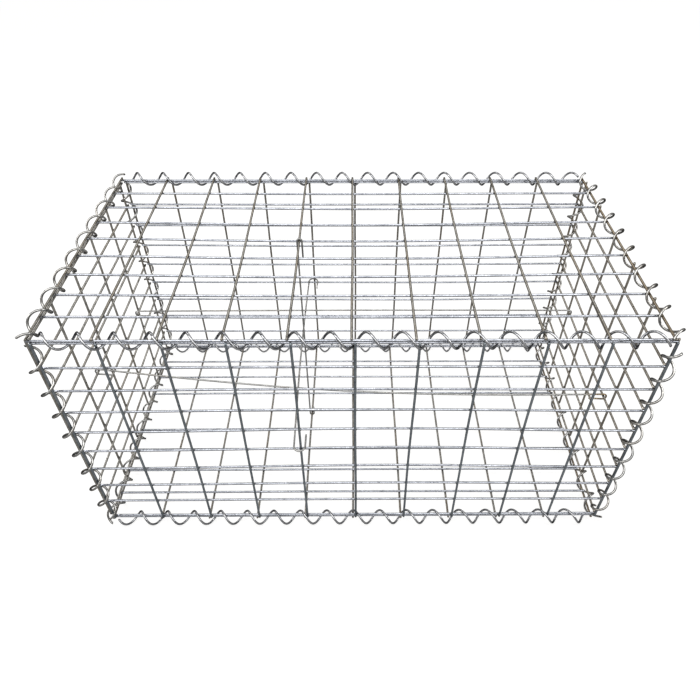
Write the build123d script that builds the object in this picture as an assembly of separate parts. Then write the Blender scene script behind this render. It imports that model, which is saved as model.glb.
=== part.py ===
from build123d import *
from math import atan2, cos, degrees, floor, hypot, radians, sin, sqrt
import os

# Basket size, between the centres of the outermost wires, in millimetres
length = 1000.0
depth = 500.0
height = 500.0

# Welded mesh: cells on the long sides, base and lid, and bays on the two ends
long_cells = 10
depth_cells = 9
height_cells = 9
end_bays = 5
mesh_wire = 4.4
wire_overhang = 3.0
end_outset = 8.5

# Spiral binders that lace the twelve edges
spiral_wire = 3.8
spiral_radius = 13.0
spiral_lean = 9.0
turns_per_long_cell = 1.8
turns_per_short_cell = 1.0
stagger_turns = 0.1
turn_sides = 10
wire_sides = 4
spiral_overrun = 3.0
well_clear = 35
search_range = 36

# Bracing ties with hooked ends
tie_wire = 3.5
hook_radius = 7.0
cross_hook_radius = 10.4
tight_hook_radius = 4.6
long_tie_return = 26.0
cross_tie_return = 27.0
upright_tie_top_return = 37.0
upright_tie_bottom_return = 22.0

# Places of the ties, as distances behind the front face
rear_tie_behind = 388.0
front_tie_left_behind = 156.0
front_tie_right_behind = 136.0

# Rows and columns of wires that the ties hook over, counted from the bottom, front or left
low_tie_row = 4
high_tie_row = 5
tie_column = 4
upright_tie_row = 5

# Free space between pieces that are laced or hooked together
clearance = 0.3

# Angles that the spirals start near, in degrees round their axes
start_angles = {
    "front_top_spiral": 352.0,
    "back_top_spiral": 332.0,
    "front_bottom_spiral": 152.0,
    "back_bottom_spiral": 100.0,
    "left_top_spiral": 325.0,
    "right_top_spiral": 273.0,
    "left_bottom_spiral": 173.0,
    "right_bottom_spiral": 71.0,
    "front_left_spiral": 282.0,
    "front_right_spiral": 78.0,
    "back_left_spiral": 202.0,
    "back_right_spiral": 104.0,
}

# Spacing of the wires, and pitch of the spirals along them
cell_length = length / long_cells
depth_cell = depth / depth_cells
height_cell = height / height_cells
long_pitch = cell_length / turns_per_long_cell
short_pitch = depth_cell / turns_per_short_cell
corner_pitch = height_cell / turns_per_short_cell

# Outer faces of the panels, with the origin on the ground under the middle of the basket
two_layers = 2 * mesh_wire
seat_depth = two_layers + mesh_wire / 2 + clearance
outer_depth = depth + 3 * mesh_wire
front_face = -outer_depth / 2
back_face = outer_depth / 2
left_end = -length / 2
right_end = length / 2
axis_offset = spiral_radius * sin(radians(spiral_lean))
axis_inset = mesh_wire / 2 + axis_offset
spiral_corner_radius = 2 * spiral_radius / (1 + cos(radians(180 / turn_sides)))
spiral_envelope = spiral_corner_radius + spiral_wire / 2
touching = (mesh_wire + spiral_wire) / 2 + clearance
bottom_face = spiral_envelope - axis_inset
top_face = bottom_face + height + 2 * seat_depth

# The front and back are staggered against the base and lid, so the long spirals pass both
stagger = stagger_turns * long_pitch
side_shift = stagger / 2
flat_shift = -stagger / 2

# Lines that the wires lie on
column_x = [left_end + cell_length * i for i in range(long_cells + 1)]
side_x = [x + side_shift for x in column_x]
flat_x = [x + flat_shift for x in column_x]
row_y = [-depth / 2 + depth_cell * i for i in range(depth_cells + 1)]
row_z = [bottom_face + seat_depth + height_cell * i for i in range(height_cells + 1)]
end_width = outer_depth - 2 * seat_depth
end_y = [front_face + seat_depth + end_width * i / end_bays for i in range(end_bays + 1)]


def wire_run(start, end):
    """Centre line of one straight mesh wire."""
    return Vector(*start), Vector(*end)


def side_wires(face, inward):
    """Front or back panel: upright wires outside, level wires welded behind them."""
    outer = face + inward * mesh_wire / 2
    inner = outer + inward * mesh_wire
    low, high = row_z[0] - wire_overhang, row_z[-1] + wire_overhang
    left, right = side_x[0] - wire_overhang, side_x[-1] + wire_overhang
    uprights = [wire_run((x, outer, low), (x, outer, high)) for x in side_x]
    levels = [wire_run((left, inner, z), (right, inner, z)) for z in row_z]
    return uprights + levels


def flat_wires(face, inward):
    """Base or lid: short wires outside, long wires welded inside them."""
    outer = face + inward * mesh_wire / 2
    inner = outer + inward * mesh_wire
    front, back = row_y[0] - wire_overhang, row_y[-1] + wire_overhang
    left, right = flat_x[0] - wire_overhang, flat_x[-1] + wire_overhang
    short = [wire_run((x, front, outer), (x, back, outer)) for x in flat_x]
    long = [wire_run((left, y, inner), (right, y, inner)) for y in row_y]
    return short + long


def end_wires(outer, inward):
    """End panel, set just outside the ends of the other four: uprights outside, levels inside."""
    inner = outer + inward * mesh_wire
    low, high = row_z[0] - wire_overhang, row_z[-1] + wire_overhang
    front, back = end_y[0] - mesh_wire / 2, end_y[-1] + mesh_wire / 2
    uprights = [wire_run((outer, y, low), (outer, y, high)) for y in end_y]
    levels = [wire_run((inner, front, z), (inner, back, z)) for z in row_z]
    return uprights + levels


def round_wire(run):
    """Straight round wire along a centre line."""
    start, end = run
    section = Plane(origin=start, z_dir=end - start) * Circle(mesh_wire / 2)
    return extrude(section, amount=(end - start).length)


def welded_panel(runs):
    """All wires of one panel, each touching the wires that it is welded to."""
    return Compound(children=[round_wire(run) for run in runs])


def crossings(runs, frame, reach):
    """Places where wires touch a spiral's surface: distance along it and angle round it."""
    found = []
    for run in runs:
        start, end = (frame.to_local_coords(point) for point in run)
        step = end - start
        square = step.X**2 + step.Y**2
        half = start.X * step.X + start.Y * step.Y
        inside = half**2 - square * (start.X**2 + start.Y**2 - spiral_radius**2)
        if square < 1 or inside < 0:
            continue
        for root in (-sqrt(inside), sqrt(inside)):
            share = min(max((root - half) / square, 0), 1)
            point = start + step * share
            beside = abs(hypot(point.X, point.Y) - spiral_radius) < touching
            if beside and -touching < point.Z < reach + touching:
                found.append((point.Z, degrees(atan2(point.Y, point.X))))
    return found


def clear_angle(near, places, pitch):
    """Start angle closest to the wanted one whose turns pass well clear of all wires."""

    def margin(angle):
        turns = [angle + 360 * along / pitch - crossing for along, crossing in places]
        nearest = min(abs((turn + 180) % 360 - 180) for turn in turns)
        return min(nearest, well_clear)

    nearest_first = sorted(range(-search_range, search_range + 1), key=abs)
    return max((near + offset for offset in nearest_first), key=margin)


def spiral(reach, pitch):
    """Right-handed spiral binder along +Z, from flat-sided wire in short straight lengths."""
    lengths = floor((reach - spiral_wire) / pitch * turn_sides)
    corners = []
    for i in range(lengths + 1):
        angle = radians(360 * i / turn_sides)
        along = spiral_wire / 2 + pitch * i / turn_sides
        beside = spiral_corner_radius * cos(angle), spiral_corner_radius * sin(angle)
        corners.append((*beside, along))
    path = Polyline(*corners)
    section = Plane(origin=path @ 0, z_dir=path % 0)
    section *= RegularPolygon(spiral_wire / 2, wire_sides)
    return sweep(section, path=path, transition=Transition.RIGHT)


def hooked_tie(start, end, toward, radius, start_return, end_return):
    """Straight wire between two bends, both bent back towards the same side."""
    start, end, toward = Vector(*start), Vector(*end), Vector(*toward)
    along = (end - start).normalized()
    side = (toward - along * toward.dot(along)).normalized() * 2 * radius
    first_bend = ThreePointArc(start + side, start + side / 2 - along * radius, start)
    last_bend = ThreePointArc(end, end + side / 2 + along * radius, end + side)
    path = Wire(
        [
            Line(start + side + along * start_return, start + side),
            first_bend,
            Line(start, end),
            last_bend,
            Line(end + side, end + side - along * end_return),
        ]
    )
    section = Plane(origin=path @ 0, z_dir=path % 0) * Circle(tie_wire / 2)
    return sweep(section, path=path)


# Six welded panels
panels = {
    "base_panel": flat_wires(bottom_face, 1),
    "lid_panel": flat_wires(top_face, -1),
    "front_panel": side_wires(front_face, 1),
    "back_panel": side_wires(back_face, -1),
    "left_end_panel": end_wires(left_end - end_outset, 1),
    "right_end_panel": end_wires(right_end + end_outset, -1),
}
all_runs = [run for runs in panels.values() for run in runs]
pieces = {name: welded_panel(runs) for name, runs in panels.items()}

# Axes of the spirals, inside the outer faces of the panels that they join
spiral_x = {"left": left_end - end_outset / 2, "right": right_end + end_outset / 2}
spiral_y = {"front": front_face + axis_inset, "back": back_face - axis_inset}
spiral_z = {"bottom": bottom_face + axis_inset, "top": top_face - axis_inset}
corner_room = spiral_envelope + clearance

# Long spirals stop short of the ones that cross their ends
long_start = spiral_x["left"] + corner_room
long_reach = spiral_x["right"] - corner_room - long_start
long_spiral = spiral(long_reach, long_pitch)

# Short spirals run the full depth of the basket
short_start = front_face - spiral_overrun
short_reach = outer_depth + 2 * spiral_overrun
short_spiral = spiral(short_reach, short_pitch)

# Corner spirals stand between the bottom and top ones
corner_start = spiral_z["bottom"] + corner_room
corner_reach = spiral_z["top"] - corner_room - corner_start
corner_spiral = spiral(corner_reach, corner_pitch)

# Each spiral with its start, its local X direction, its axis, its length and its pitch
edges = {}
for side, y in spiral_y.items():
    for level, z in spiral_z.items():
        frame = Plane(origin=(long_start, y, z), x_dir=(0, 1, 0), z_dir=(1, 0, 0))
        edges[f"{side}_{level}_spiral"] = (frame, long_spiral, long_reach, long_pitch)
for end, x in spiral_x.items():
    for level, z in spiral_z.items():
        frame = Plane(origin=(x, short_start, z), x_dir=(0, 0, 1), z_dir=(0, 1, 0))
        edges[f"{end}_{level}_spiral"] = (frame, short_spiral, short_reach, short_pitch)
for side, y in spiral_y.items():
    for end, x in spiral_x.items():
        frame = Plane(origin=(x, y, corner_start), x_dir=(1, 0, 0), z_dir=(0, 0, 1))
        edges[f"{side}_{end}_spiral"] = (frame, corner_spiral, corner_reach, corner_pitch)

# The spirals are turned so that every turn passes between the wires
for name, (frame, blank, reach, pitch) in edges.items():
    places = crossings(all_runs, frame, reach)
    lead = 360 * (spiral_wire / 2) / pitch
    angle = clear_angle(start_angles[name] - lead, places, pitch)
    pieces[name] = frame * Rot(Z=angle + lead) * blank

# Heights and depths at which the ties lie on the wires that carry them
on_wire = (mesh_wire + tie_wire) / 2 + clearance
on_tie = tie_wire + clearance
low_z = row_z[low_tie_row]
high_z = row_z[high_tie_row]
end_level_x = right_end + end_outset - mesh_wire
hook_room = hook_radius - on_wire
rear_z = low_z + on_wire + on_tie
rear_rise = rear_z - hook_radius - low_z
rear_bend_x = end_level_x - sqrt(hook_room**2 - rear_rise**2)
rear_y = front_face + rear_tie_behind
down = (0, 0, -1)

# Long tie at the rear, hooked over a level wire of each end panel
pieces["rear_long_tie"] = hooked_tie(
    (-rear_bend_x, rear_y, rear_z),
    (rear_bend_x, rear_y, rear_z),
    down,
    hook_radius,
    long_tie_return,
    long_tie_return,
)

# Long tie at the front, one row higher at its left end
pieces["front_long_tie"] = hooked_tie(
    (-end_level_x, front_face + front_tie_left_behind, high_z + on_wire),
    (end_level_x, front_face + front_tie_right_behind, low_z + on_wire),
    down,
    hook_radius,
    long_tie_return,
    long_tie_return,
)

# Upright tie between the lid and the base, tight round one wire of each
upright_x = flat_x[tie_column] - tight_hook_radius
upright_y = row_y[upright_tie_row] - on_wire
upright_bend = tight_hook_radius - on_wire
pieces["upright_tie"] = hooked_tie(
    (upright_x, upright_y, bottom_face + mesh_wire / 2 + upright_bend),
    (upright_x, upright_y, top_face - mesh_wire / 2 - upright_bend),
    (1, 0, 0),
    tight_hook_radius,
    upright_tie_bottom_return,
    upright_tie_top_return,
)

# Cross tie that passes beside it and hooks round an upright of the front and of the back
cross_x = upright_x - on_tie
cross_aside = side_x[tie_column] - cross_x - cross_hook_radius
cross_room = cross_hook_radius - on_wire
cross_bend_y = back_face - mesh_wire / 2 - sqrt(cross_room**2 - cross_aside**2)
pieces["cross_tie"] = hooked_tie(
    (cross_x, -cross_bend_y, low_z + on_wire),
    (cross_x, cross_bend_y, low_z + on_wire),
    (1, 0, 0),
    cross_hook_radius,
    cross_tie_return,
    cross_tie_return,
)

os.makedirs("parts", exist_ok=True)
for name, piece in pieces.items():
    export_step(piece, f"parts/{name}.step")
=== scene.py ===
"""Looks of the gabion basket: drawn zinc-coated wire, welded, laced and braced."""

import math
import random

import bpy
import numpy as np
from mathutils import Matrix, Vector


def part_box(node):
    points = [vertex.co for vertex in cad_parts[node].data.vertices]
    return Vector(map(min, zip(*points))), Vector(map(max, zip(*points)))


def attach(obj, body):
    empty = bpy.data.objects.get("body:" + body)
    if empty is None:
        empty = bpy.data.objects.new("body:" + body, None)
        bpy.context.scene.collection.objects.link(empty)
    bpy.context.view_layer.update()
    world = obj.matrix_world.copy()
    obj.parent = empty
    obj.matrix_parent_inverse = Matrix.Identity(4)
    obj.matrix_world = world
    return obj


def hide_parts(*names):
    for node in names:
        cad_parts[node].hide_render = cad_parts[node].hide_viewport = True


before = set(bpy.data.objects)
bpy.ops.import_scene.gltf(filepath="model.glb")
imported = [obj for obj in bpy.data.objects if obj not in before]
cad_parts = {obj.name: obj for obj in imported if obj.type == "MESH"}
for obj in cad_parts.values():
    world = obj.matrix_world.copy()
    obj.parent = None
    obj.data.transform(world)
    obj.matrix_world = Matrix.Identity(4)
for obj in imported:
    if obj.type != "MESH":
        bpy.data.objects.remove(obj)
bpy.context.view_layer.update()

# Wire sizes, in metres. The spirals look as thick as the mesh, and are thinner in the CAD.
MESH_WIRE = 0.0044
SPIRAL_WIRE = 0.0043
CAD_SPIRAL_WIRE = 0.0038
TIE_WIRE = 0.0035
OVERHANG = 0.003
SPIRAL_RADIUS = 0.013

# Counts of cells, and turns of a spiral in one cell
LONG_CELLS = 10
SHORT_CELLS = 9
END_BAYS = 5
TURNS_PER_LONG_CELL = 1.8
TURNS_PER_SHORT_CELL = 1

# How finely the wires and welds are drawn
WIRE_SIDES = 12
STEPS_PER_CELL = 8
SPIRAL_STEPS = 28
BEND_STEPS = 15
TIE_STEPS = 40
WELD_RINGS, WELD_SIDES = 4, 8

# Cut wire ends: chamfer's width and length as shares of the radius, and shear in radians
CHAMFER_WIDTH = 0.72
CHAMFER_LENGTH = 0.3
MESH_CUT = 0.35
SPIRAL_CUT = 0.5
TIE_CUT = 0.3

# How far the middle of each panel is bent inwards, in metres, and how flat its edges stay
PANEL_BOW = {
    "front_panel": 0.006,
    "back_panel": 0.004,
    "base_panel": 0.003,
    "lid_panel": 0.008,
    "left_end_panel": 0.001,
    "right_end_panel": 0.001,
}
EDGE_STIFFNESS = 1.5

# How far the mesh strays from that, and in how many half waves each way
PANEL_WAVE = 0.0012
HALF_WAVES = (2.1, 1.7)

# How far single wires stray from straight, and the angle that their wave turns through
WIRE_WANDER = 0.0008
WANDER_TURN = 5

# Welds: half sizes along the wires and across them, in metres, and their spread in size
WELD_SPREAD = 0.0027
WELD_HEIGHT = 0.0011
WELD_SIZES = (0.85, 1.1)

# Hooks of the ties: radius of the bend and length bent back at each end, in metres
LONG_HOOK, LONG_RETURNS = 0.007, (0.026, 0.026)
CROSS_HOOK, CROSS_RETURNS = 0.0104, (0.027, 0.027)
TIGHT_HOOK, UPRIGHT_RETURNS = 0.0046, (0.022, 0.037)

# Zinc coat: scales of its textures per metre, and their detail
METALLIC = 0.9
SPANGLE_SCALE = 330
PATCH_SCALE, PATCH_DETAIL = 34, 5
PIT_SCALE, PIT_DETAIL = 1400, 3
STAIN_SCALE, STAIN_DETAIL = 11, 6

# Zinc coat: how the textures set its tone, its roughness, its pits and its stains
SPANGLE_SHARE = 0.45
DARK_UP_TO, LIGHT_FROM = 0.42, 0.95
ROUGHNESS_BELOW, ROUGHNESS_ABOVE = 0.08, 0.14
PIT_STRENGTH, PIT_DEPTH = 0.12, 0.0002
STAIN_FROM, STAIN_FULL = 0.48, 0.66
STAIN_COLOUR = (0.145, 0.108, 0.065)

# Place along the basket where wires turn brown at its right end, and the width of the change
RUST_FROM = 0.46
RUST_FADE = 0.03

# Floor and surroundings
FLOOR_SIDE = 12.0
FLOOR_COLOUR = (1.0, 0.998, 0.992)
FLOOR_MATT = 0.4
FLOOR_GLOW = 0.84
FLOOR_BOUNCE = 0.8
WORLD_COLOUR = (1.0, 0.998, 0.995)
WORLD_FILL = 0.4

# Camera, from wires measured in a 700 x 700 photograph
PHOTO_SIDE = 700
FOCAL_PIXELS = 598.914
SENSOR_WIDTH = 36
CAMERA_PLACE = (0.002705, -0.915057, 1.17282)
CAMERA_TURN = (49.547, -0.190, -0.388)
CENTRE_X, CENTRE_Y = 359.569, 301.643

X, Y, Z = 0, 1, 2
DOWN, RIGHT = (0, 0, -1), (1, 0, 0)
LEVEL_SLOT, UPRIGHT_SLOT, CROSS_SLOT, END_SLOT, WELD_SLOT = range(5)

rng = random.Random(7)


# Shapes


class Shape:
    """Collects closed tubes and beads into one mesh with several materials."""

    def __init__(self):
        self.points = []
        self.faces = []
        self.slots = []

    def add(self, points, faces, slot):
        base = len(self.points)
        self.points.extend(points)
        self.faces.extend([tuple(base + i for i in face) for face in faces])
        self.slots.extend([slot] * len(faces))

    def build(self, name, materials, replaced):
        mesh = bpy.data.meshes.new(name)
        mesh.from_pydata([tuple(p) for p in self.points], [], self.faces)
        for material in materials:
            mesh.materials.append(material)
        mesh.polygons.foreach_set("material_index", self.slots)
        mesh.polygons.foreach_set("use_smooth", [True] * len(self.faces))
        mesh.update()
        piece = bpy.data.objects.new(name, mesh)
        bpy.context.scene.collection.objects.link(piece)
        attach(piece, "root")
        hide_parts(replaced)
        return piece


def unit(vector):
    return vector / np.linalg.norm(vector)


def wire_end(centre, inward, ring, angles, radius, shear):
    """Chamfered end of a wire: its rim and the ring behind it, sheared by an angle."""
    lean = math.tan(shear)
    rim = centre + ring * radius * CHAMFER_WIDTH
    rim += np.outer(np.cos(angles) * radius * lean, inward) * CHAMFER_WIDTH
    behind = centre + ring * radius + inward * radius * CHAMFER_LENGTH
    behind += np.outer((np.cos(angles) + 1) * radius * lean, inward)
    return rim, behind


def tube(shape, line, radius, slot, cut):
    """Round wire along a line of points, closed at both ends, each end sheared by an angle."""
    line = np.asarray(line, float)
    tangents = np.gradient(line, axis=0)
    tangents /= np.linalg.norm(tangents, axis=1)[:, None]
    seed = np.eye(3)[np.argmin(np.abs(tangents[0]))]
    across = unit(np.cross(tangents[0], seed))
    angles = np.arange(WIRE_SIDES) * 2 * math.pi / WIRE_SIDES
    points = []
    last = len(line) - 1
    for i, (centre, along) in enumerate(zip(line, tangents)):
        across = unit(across - along * across.dot(along))
        other = np.cross(along, across)
        ring = np.outer(np.cos(angles), across) + np.outer(np.sin(angles), other)
        if i == 0:
            points.extend(wire_end(centre, along, ring, angles, radius, cut[0]))
        elif i == last:
            rim, behind = wire_end(centre, -along, ring, angles, radius, cut[1])
            points.extend([behind, rim])
        else:
            points.append(centre + ring * radius)
    rings = len(points)
    faces = []
    for i in range(rings - 1):
        for j in range(WIRE_SIDES):
            k = (j + 1) % WIRE_SIDES
            a, b = i * WIRE_SIDES, (i + 1) * WIRE_SIDES
            faces.append((a + j, a + k, b + k, b + j))
    faces.append(tuple(reversed(range(WIRE_SIDES))))
    faces.append(tuple(range((rings - 1) * WIRE_SIDES, rings * WIRE_SIDES)))
    shape.add(np.concatenate(points), faces, slot)


def bead(shape, centre, half_sizes, slot):
    """Small rounded weld, flat on the joint between two crossing wires."""
    points = [np.array([0.0, 0.0, -1.0])]
    for i in range(1, WELD_RINGS):
        polar = math.pi * i / WELD_RINGS
        flat = math.sin(polar)
        for j in range(WELD_SIDES):
            turn = 2 * math.pi * j / WELD_SIDES
            points.append(
                np.array([flat * math.cos(turn), flat * math.sin(turn), -math.cos(polar)])
            )
    points.append(np.array([0.0, 0.0, 1.0]))
    faces = []
    top = len(points) - 1
    for j in range(WELD_SIDES):
        k = (j + 1) % WELD_SIDES
        faces.append((0, 1 + k, 1 + j))
        for i in range(WELD_RINGS - 2):
            a, b = 1 + i * WELD_SIDES, 1 + (i + 1) * WELD_SIDES
            faces.append((a + j, a + k, b + k, b + j))
        last = 1 + (WELD_RINGS - 2) * WELD_SIDES
        faces.append((last + j, last + k, top))
    shape.add(np.array(points) * half_sizes + centre, faces, slot)


def spread(low, high, count):
    return np.linspace(low, high, count + 1)


def box(node):
    low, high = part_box(node)
    return np.array(low), np.array(high)


def node_points(node):
    """Distinct corners of a CAD node."""
    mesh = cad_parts[node].data
    points = np.empty(len(mesh.vertices) * 3)
    mesh.vertices.foreach_get("co", points)
    return np.unique(points.reshape(-1, 3).round(6), axis=0)


# Materials


def texture(nodes, links, place, kind, scale, detail=None):
    """Noise or cells over the wire, at a scale per metre."""
    node = nodes.new(kind)
    node.inputs["Scale"].default_value = scale
    if detail:
        node.inputs["Detail"].default_value = detail
    links.new(place.outputs["Object"], node.inputs["Vector"])
    return node


def rescale(nodes, links, source, low, high, new_low, new_high):
    """Maps one range of values to another, held at its ends."""
    node = nodes.new("ShaderNodeMapRange")
    node.inputs["From Min"].default_value = low
    node.inputs["From Max"].default_value = high
    node.inputs["To Min"].default_value = new_low
    node.inputs["To Max"].default_value = new_high
    links.new(source, node.inputs["Value"])
    return node.outputs[0]


def greater(nodes, links, first, second):
    """The greater of two values."""
    node = nodes.new("ShaderNodeMath")
    node.operation = "MAXIMUM"
    links.new(first, node.inputs[0])
    links.new(second, node.inputs[1])
    return node.outputs[0]


def galvanised(name, dark, light, roughness, edge=0.35, stain=0.0, rust=None):
    """Drawn steel wire with a zinc coat: soft spangle, dull patches, stains and fine pits."""
    material = bpy.data.materials.new(name)
    material.use_nodes = True
    nodes, links = material.node_tree.nodes, material.node_tree.links
    nodes.clear()
    output = nodes.new("ShaderNodeOutputMaterial")
    shader = nodes.new("ShaderNodeBsdfPrincipled")
    place = nodes.new("ShaderNodeTexCoord")
    shader.inputs["Metallic"].default_value = METALLIC
    shader.inputs["Specular Tint"].default_value = (edge, edge, edge, 1)
    spangle = texture(nodes, links, place, "ShaderNodeTexVoronoi", SPANGLE_SCALE)
    patches = texture(nodes, links, place, "ShaderNodeTexNoise", PATCH_SCALE, PATCH_DETAIL)
    pits = texture(nodes, links, place, "ShaderNodeTexNoise", PIT_SCALE, PIT_DETAIL)
    stains = texture(nodes, links, place, "ShaderNodeTexNoise", STAIN_SCALE, STAIN_DETAIL)
    blend = nodes.new("ShaderNodeMath")
    blend.operation = "MULTIPLY_ADD"
    links.new(spangle.outputs["Color"], blend.inputs[0])
    blend.inputs[1].default_value = SPANGLE_SHARE
    links.new(patches.outputs["Fac"], blend.inputs[2])
    tone = nodes.new("ShaderNodeValToRGB")
    tone.color_ramp.elements[0].position = DARK_UP_TO
    tone.color_ramp.elements[0].color = (*dark, 1)
    tone.color_ramp.elements[1].position = LIGHT_FROM
    tone.color_ramp.elements[1].color = (*light, 1)
    links.new(blend.outputs[0], tone.inputs["Fac"])
    share = rescale(nodes, links, stains.outputs["Fac"], STAIN_FROM, STAIN_FULL, 0, stain)
    if rust is not None:
        axes = nodes.new("ShaderNodeSeparateXYZ")
        links.new(place.outputs["Object"], axes.inputs[0])
        rust_full = RUST_FROM + RUST_FADE
        rusted = rescale(nodes, links, axes.outputs["X"], RUST_FROM, rust_full, 0, rust)
        share = greater(nodes, links, share, rusted)
    colour = nodes.new("ShaderNodeMix")
    colour.data_type = "RGBA"
    links.new(share, colour.inputs["Factor"])
    links.new(tone.outputs["Color"], colour.inputs["A"])
    colour.inputs["B"].default_value = (*STAIN_COLOUR, 1)
    links.new(colour.outputs["Result"], shader.inputs["Base Color"])
    smoothest, roughest = roughness - ROUGHNESS_BELOW, roughness + ROUGHNESS_ABOVE
    rough = rescale(nodes, links, patches.outputs["Fac"], 0, 1, smoothest, roughest)
    links.new(rough, shader.inputs["Roughness"])
    bump = nodes.new("ShaderNodeBump")
    bump.inputs["Strength"].default_value = PIT_STRENGTH
    bump.inputs["Distance"].default_value = PIT_DEPTH
    links.new(pits.outputs["Fac"], bump.inputs["Height"])
    links.new(bump.outputs["Normal"], shader.inputs["Normal"])
    links.new(shader.outputs[0], output.inputs["Surface"])
    return material


# Darkest and lightest tone of each wire and its roughness, how bright it is at grazing
# angles, how stained it is, and how brown at the right end. These wires share one zinc
# coat: the lighter tone of the level wires is painted light, and the darker tones of the
# uprights and cross wires are painted shade.
LIT_LEVEL = galvanised("level_wire_painted_light", (0.135, 0.143, 0.16), (0.29, 0.3, 0.325), 0.22, edge=0.05)
# Darker tone of the uprights: painted shade.
SHADED_UPRIGHT = galvanised("upright_wire_painted_shade", (0.07, 0.08, 0.09), (0.15, 0.165, 0.175), 0.32)
# Darker, browner tone of the cross wires: painted shade, with real stains and brown rust at
# the right end.
SHADED_STAINED_CROSS = galvanised(
    "cross_wire_painted_shade_and_stains",
    (0.095, 0.09, 0.08),
    (0.20, 0.19, 0.17),
    0.3,
    edge=0.1,
    stain=0.35,
    rust=0.6,
)
END = galvanised(
    "end_wire",
    (0.125, 0.12, 0.11),
    (0.26, 0.25, 0.228),
    0.28,
    edge=0.1,
    stain=0.25,
    rust=0.25,
)
WELD = galvanised("weld", (0.07, 0.07, 0.07), (0.17, 0.17, 0.165), 0.5)
SPIRAL = galvanised(
    "spiral_wire", (0.1, 0.105, 0.112), (0.235, 0.235, 0.24), 0.18, edge=0.03
)
END_SPIRAL = galvanised(
    "end_spiral_wire",
    (0.095, 0.096, 0.095),
    (0.23, 0.226, 0.216),
    0.18,
    edge=0.03,
    stain=0.2,
)
TIE_TONES = (0.12, 0.12, 0.117), (0.25, 0.248, 0.24)
TIE = galvanised("tie_wire", *TIE_TONES, 0.3, edge=0.1, stain=0.15)
RUSTY_TIE = galvanised("rusty_tie_wire", *TIE_TONES, 0.3, edge=0.1, stain=0.15, rust=0.9)
MESH_MATERIALS = (LIT_LEVEL, SHADED_UPRIGHT, SHADED_STAINED_CROSS, END, WELD)


# Panels

# Axis that each panel faces along, the way inwards on it, and the start of its waves
PANELS = {
    "front_panel": (Y, 1, 0.4),
    "back_panel": (Y, -1, 2.3),
    "base_panel": (Z, 1, 1.5),
    "lid_panel": (Z, -1, 3.9),
    "left_end_panel": (X, 1, 0.9),
    "right_end_panel": (X, -1, 4.7),
}
PANEL_BOXES = {node: box(node) for node in PANELS}


def flat_axes(node):
    """The two axes that a panel spreads along."""
    return [axis for axis in (X, Y, Z) if axis != PANELS[node][0]]


def shares(node, point):
    """Where a point lies across a panel, each way from 0 to 1."""
    low, high = PANEL_BOXES[node]
    return np.clip(((point - low) / (high - low))[flat_axes(node)], 0, 1)


def bow(node, point):
    """How far a panel is bent along its normal axis at a point, nothing at its edges."""
    _, inward, seed = PANELS[node]
    u, v = shares(node, point)
    edge = (math.sin(math.pi * u) * math.sin(math.pi * v)) ** EDGE_STIFFNESS
    wave = math.sin(HALF_WAVES[0] * math.pi * u + seed)
    wave *= math.cos(HALF_WAVES[1] * math.pi * v + 2 * seed)
    return inward * edge * (PANEL_BOW[node] + PANEL_WAVE * wave)


def panel_wire(shape, node, start, end, steps, side_axis, slot):
    """One wire of a panel, bent with the panel and a little by itself."""
    normal_axis = PANELS[node][0]
    phase = rng.uniform(0, 2 * math.pi)
    beside = shares(node, start)[flat_axes(node).index(side_axis)]
    inside = math.sin(math.pi * beside)
    line = []
    for share in np.linspace(0, 1, steps + 1):
        point = start + (end - start) * share
        point[normal_axis] += bow(node, point)
        drift = math.sin(math.pi * share) * math.sin(WANDER_TURN * share + phase)
        point[side_axis] += WIRE_WANDER * inside * drift
        line.append(point)
    cut = (rng.uniform(-MESH_CUT, MESH_CUT), rng.uniform(-MESH_CUT, MESH_CUT))
    tube(shape, line, MESH_WIRE / 2, slot, cut)


def welded_panel(node, outer, inner):
    """Panel of two layers of wires, welded where they cross.

    Each layer is the axis that its wires run along, the axis that they are spaced along,
    their places on it, the level of the layer, the wires' ends, cells and material slot.
    """
    shape = Shape()
    normal_axis = PANELS[node][0]
    for along, across, places, level, ends, cells, slot in (outer, inner):
        for place in places:
            start = np.empty(3)
            start[across], start[normal_axis] = place, level
            end = start.copy()
            start[along], end[along] = ends
            panel_wire(shape, node, start, end, cells * STEPS_PER_CELL, across, slot)
    half = np.full(3, WELD_SPREAD)
    half[normal_axis] = WELD_HEIGHT
    _, outer_across, outer_places, outer_level, *_ = outer
    _, inner_across, inner_places, inner_level, *_ = inner
    joint = (outer_level + inner_level) / 2
    for a in outer_places:
        for b in inner_places:
            centre = np.empty(3)
            centre[outer_across], centre[inner_across], centre[normal_axis] = a, b, joint
            centre[normal_axis] += bow(node, centre)
            bead(shape, centre, half * rng.uniform(*WELD_SIZES), WELD_SLOT)
    return shape.build(node.replace("_panel", "_mesh"), MESH_MATERIALS, node)


def layer_levels(node):
    """Levels of a panel's outer and inner wires along its normal axis."""
    normal_axis, inward, _ = PANELS[node]
    low, high = PANEL_BOXES[node]
    face = low[normal_axis] if inward > 0 else high[normal_axis]
    return face + inward * MESH_WIRE / 2, face + inward * MESH_WIRE * 1.5


def long_panel(node, across, cross_slot):
    """Front, back, base or lid: short wires outside and long wires inside."""
    low, high = PANEL_BOXES[node]
    columns = spread(low[X] + OVERHANG, high[X] - OVERHANG, LONG_CELLS)
    rows = spread(low[across] + OVERHANG, high[across] - OVERHANG, SHORT_CELLS)
    outer_level, inner_level = layer_levels(node)
    short_ends = (low[across], high[across])
    long_ends = (low[X], high[X])
    outer = (across, X, columns, outer_level, short_ends, SHORT_CELLS, cross_slot)
    inner = (X, across, rows, inner_level, long_ends, LONG_CELLS, LEVEL_SLOT)
    return welded_panel(node, outer, inner)


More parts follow.
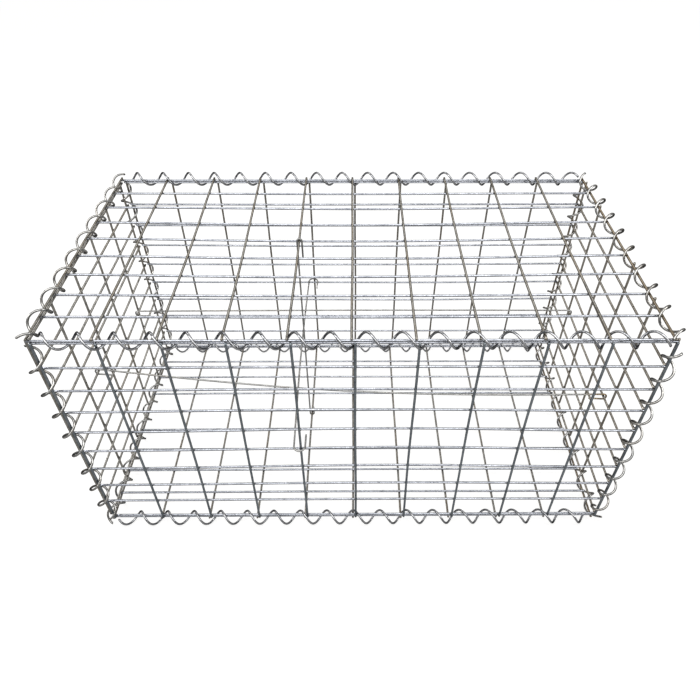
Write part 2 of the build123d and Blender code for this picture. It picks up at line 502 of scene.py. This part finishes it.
def end_panel(node):
    """Left or right end: uprights outside and level wires inside."""
    low, high = PANEL_BOXES[node]
    half = MESH_WIRE / 2
    uprights = spread(low[Y] + half, high[Y] - half, END_BAYS)
    rows = spread(low[Z] + OVERHANG, high[Z] - OVERHANG, SHORT_CELLS)
    outer_level, inner_level = layer_levels(node)
    z_ends, y_ends = (low[Z], high[Z]), (low[Y], high[Y])
    outer = (Z, Y, uprights, outer_level, z_ends, SHORT_CELLS, END_SLOT)
    inner = (Y, Z, rows, inner_level, y_ends, END_BAYS, END_SLOT)
    return welded_panel(node, outer, inner)


# Long wires take the level tone, which is painted light. The front's uprights and the short
# wires of the back, base and lid take darker tones, which are painted shade.
long_panel("front_panel", Z, UPRIGHT_SLOT)
long_panel("back_panel", Z, CROSS_SLOT)
long_panel("base_panel", Y, CROSS_SLOT)
long_panel("lid_panel", Y, CROSS_SLOT)
end_panel("left_end_panel")
end_panel("right_end_panel")


# Spiral binders


def spiral(node, axis, turns_per_metre, material):
    """Smooth helix that starts and ends where the CAD spiral does."""
    corners = node_points(node)
    along = corners[:, axis]
    first = corners[along < along.min() + CAD_SPIRAL_WIRE].mean(axis=0)
    last = corners[along > along.max() - CAD_SPIRAL_WIRE].mean(axis=0)
    side, rise = (axis + 1) % 3, (axis + 2) % 3
    low, high = box(node)
    centre = (low + high) / 2
    start_angle = math.atan2(first[rise] - centre[rise], first[side] - centre[side])
    turns = (last[axis] - first[axis]) * turns_per_metre
    line = []
    for share in np.linspace(0, 1, int(turns * SPIRAL_STEPS)):
        angle = start_angle + 2 * math.pi * turns * share
        point = centre.copy()
        point[axis] = first[axis] + (last[axis] - first[axis]) * share
        point[side] += SPIRAL_RADIUS * math.cos(angle)
        point[rise] += SPIRAL_RADIUS * math.sin(angle)
        line.append(point)
    shape = Shape()
    tube(shape, line, SPIRAL_WIRE / 2, 0, (SPIRAL_CUT, -SPIRAL_CUT))
    return shape.build(node.replace("_spiral", "_binder"), (material,), node)


lid_low, lid_high = PANEL_BOXES["lid_panel"]
long_cell = (lid_high[X] - lid_low[X] - 2 * OVERHANG) / LONG_CELLS
short_cell = (lid_high[Y] - lid_low[Y] - 2 * OVERHANG) / SHORT_CELLS
long_turns = TURNS_PER_LONG_CELL / long_cell
short_turns = TURNS_PER_SHORT_CELL / short_cell
for side in ("front", "back"):
    for level in ("top", "bottom"):
        spiral(f"{side}_{level}_spiral", X, long_turns, SPIRAL)
    for end in ("left", "right"):
        spiral(f"{side}_{end}_spiral", Z, short_turns, END_SPIRAL)
for end in ("left", "right"):
    for level in ("top", "bottom"):
        spiral(f"{end}_{level}_spiral", Y, short_turns, END_SPIRAL)


# Bracing ties


def hooked_line(start, end, side, radius, returns, drift):
    """Centre line of a tie: a run that drifts aside, between two half-round hooks."""
    start, end, side, drift = (np.array(v, float) for v in (start, end, side, drift))
    along = unit(end - start)
    side = unit(side - along * side.dot(along))
    turns = np.linspace(0, math.pi, BEND_STEPS)

    def bend(foot, outward):
        centre = foot + side * radius
        return [
            centre + radius * (outward * math.sin(turn) - side * math.cos(turn))
            for turn in turns
        ]

    first = bend(start, -along)[::-1]
    last = bend(end, along)
    run = [
        start + (end - start) * share + drift * math.sin(math.pi * share)
        for share in np.linspace(0, 1, TIE_STEPS + 1)[1:-1]
    ]
    line = [first[0] + along * returns[0], *first, *run, *last]
    return [*line, last[-1] - along * returns[1]]


def on_panel(point, node):
    """A tie's end, moved with the panel that it is hooked to."""
    moved = np.array(point, float)
    moved[PANELS[node][0]] += bow(node, moved)
    return moved


def tie(node, start, end, side, radius, returns, drift, material):
    """One bracing tie of round wire, from one panel to another."""
    shape = Shape()
    line = hooked_line(start, end, side, radius, returns, drift)
    tube(shape, line, TIE_WIRE / 2, 0, (TIE_CUT, -TIE_CUT))
    return shape.build(node.replace("_tie", "_brace"), (material,), node)


# Each tie's two ends on their panels, the side that its hooks turn to, their radius and
# returns, how far its middle drifts, and its material
tie(
    "rear_long_tie",
    on_panel((-0.501558, 0.1314, 0.252565), "left_end_panel"),
    on_panel((0.501558, 0.1314, 0.252565), "right_end_panel"),
    DOWN,
    LONG_HOOK,
    LONG_RETURNS,
    (0, 0.002, 0),
    TIE,
)
tie(
    "front_long_tie",
    on_panel((-0.5041, -0.1006, 0.30432), "left_end_panel"),
    on_panel((0.5041, -0.1206, 0.248765), "right_end_panel"),
    DOWN,
    LONG_HOOK,
    LONG_RETURNS,
    (0, 0, -0.028),
    RUSTY_TIE,
)
tie(
    "cross_tie",
    on_panel((-0.111178, -0.249382, 0.248765), "front_panel"),
    on_panel((-0.111178, 0.249382, 0.248765), "back_panel"),
    RIGHT,
    CROSS_HOOK,
    CROSS_RETURNS,
    (-0.003, 0, 0),
    TIE,
)
tie(
    "upright_tie",
    on_panel((-0.107378, 0.023528, 0.013542), "base_panel"),
    on_panel((-0.107378, 0.023528, 0.531042), "lid_panel"),
    RIGHT,
    TIGHT_HOOK,
    UPRIGHT_RETURNS,
    (0, 0, 0),
    TIE,
)


# Floor, backdrop and light


def pale_rays(nodes, links):
    """1 for rays from the camera, off gloss or through glass, and 0 for the rest."""
    rays = nodes.new("ShaderNodeLightPath").outputs
    seen = greater(nodes, links, rays["Is Camera Ray"], rays["Is Glossy Ray"])
    return greater(nodes, links, seen, rays["Is Transmission Ray"])


def pale_floor(side, colour):
    """Large glowing floor, white in the picture, on which the basket's shadow hardly shows."""
    mesh = bpy.data.meshes.new("floor")
    half = side / 2
    corners = [(-half, -half, 0), (half, -half, 0), (half, half, 0), (-half, half, 0)]
    mesh.from_pydata(corners, [], [(0, 1, 2, 3)])
    floor = bpy.data.objects.new("floor", mesh)
    bpy.context.scene.collection.objects.link(floor)
    material = bpy.data.materials.new("floor")
    material.use_nodes = True
    nodes, links = material.node_tree.nodes, material.node_tree.links
    nodes.clear()
    output = nodes.new("ShaderNodeOutputMaterial")
    matt = nodes.new("ShaderNodeBsdfDiffuse")
    matt.inputs["Color"].default_value = (*[c * FLOOR_MATT for c in colour], 1)
    glow = nodes.new("ShaderNodeEmission")
    glow.inputs["Color"].default_value = (*colour, 1)
    glow.inputs["Strength"].default_value = FLOOR_GLOW
    both = nodes.new("ShaderNodeAddShader")
    links.new(matt.outputs[0], both.inputs[0])
    links.new(glow.outputs[0], both.inputs[1])
    plain = nodes.new("ShaderNodeBsdfDiffuse")
    plain.inputs["Color"].default_value = (*[c * FLOOR_BOUNCE for c in colour], 1)
    seen = nodes.new("ShaderNodeMixShader")
    links.new(pale_rays(nodes, links), seen.inputs["Fac"])
    links.new(plain.outputs[0], seen.inputs[1])
    links.new(both.outputs[0], seen.inputs[2])
    links.new(seen.outputs[0], output.inputs["Surface"])
    mesh.materials.append(material)


def backdrop(colour, fill):
    """White surroundings for what is seen, and a plain level of light for the rest."""
    world = bpy.data.worlds.new("studio")
    bpy.context.scene.world = world
    world.use_nodes = True
    nodes, links = world.node_tree.nodes, world.node_tree.links
    nodes.clear()
    output = nodes.new("ShaderNodeOutputWorld")
    seen = nodes.new("ShaderNodeBackground")
    seen.inputs["Color"].default_value = (*colour, 1)
    light = nodes.new("ShaderNodeBackground")
    light.inputs["Color"].default_value = (*colour, 1)
    light.inputs["Strength"].default_value = fill
    mix = nodes.new("ShaderNodeMixShader")
    links.new(pale_rays(nodes, links), mix.inputs["Fac"])
    links.new(light.outputs[0], mix.inputs[1])
    links.new(seen.outputs[0], mix.inputs[2])
    links.new(mix.outputs[0], output.inputs["Surface"])


def softbox(name, place, target, size, power, on_matt=True):
    """Large soft lamp turned to face a point; one that is not on matt shows in gloss only."""
    lamp = bpy.data.lights.new(name, "AREA")
    lamp.shape = "RECTANGLE"
    lamp.size, lamp.size_y = size
    lamp.energy = power
    holder = bpy.data.objects.new(name, lamp)
    holder.location = place
    holder.visible_diffuse = on_matt
    aim = unit(np.array(target) - np.array(place))
    holder.rotation_euler = Vector(aim).to_track_quat("-Z", "Y").to_euler()
    bpy.context.scene.collection.objects.link(holder)


pale_floor(FLOOR_SIDE, FLOOR_COLOUR)
backdrop(WORLD_COLOUR, WORLD_FILL)

# Lamps: place, point that they face and size in metres, and power in watts
softbox("overhead", (0.0, -0.3, 2.4), (0, 0, 0.25), (2.6, 0.8), 16)
softbox("window", (-1.9, 0.9, 1.6), (0, 0, 0.3), (0.5, 1.0), 12)

# Lamps that only draw the bright lines along the wires
softbox("front_streak", (0.0, -1.0, 2.1), (0, 0, 0.25), (3.2, 1.1), 76, on_matt=False)
softbox("rear_streak", (0.0, 2.0, 2.1), (0, 0, 0.25), (2.6, 0.7), 24, on_matt=False)
softbox("left_streak", (-2.0, -0.6, 1.5), (0, 0, 0.3), (0.7, 1.0), 30, on_matt=False)
softbox("right_streak", (2.0, -0.6, 1.5), (0, 0, 0.3), (0.7, 1.0), 30, on_matt=False)


# Camera at the photograph's place and angle
camera = bpy.data.cameras.new("camera")
camera.sensor_width = SENSOR_WIDTH
camera.lens = FOCAL_PIXELS / PHOTO_SIDE * camera.sensor_width
camera.shift_x = 0.5 - CENTRE_X / PHOTO_SIDE
camera.shift_y = CENTRE_Y / PHOTO_SIDE - 0.5
viewpoint = bpy.data.objects.new("camera", camera)
viewpoint.location = CAMERA_PLACE
viewpoint.rotation_euler = [math.radians(angle) for angle in CAMERA_TURN]
bpy.context.scene.collection.objects.link(viewpoint)
bpy.context.scene.camera = viewpoint
bpy.context.scene.view_settings.view_transform = "Standard"
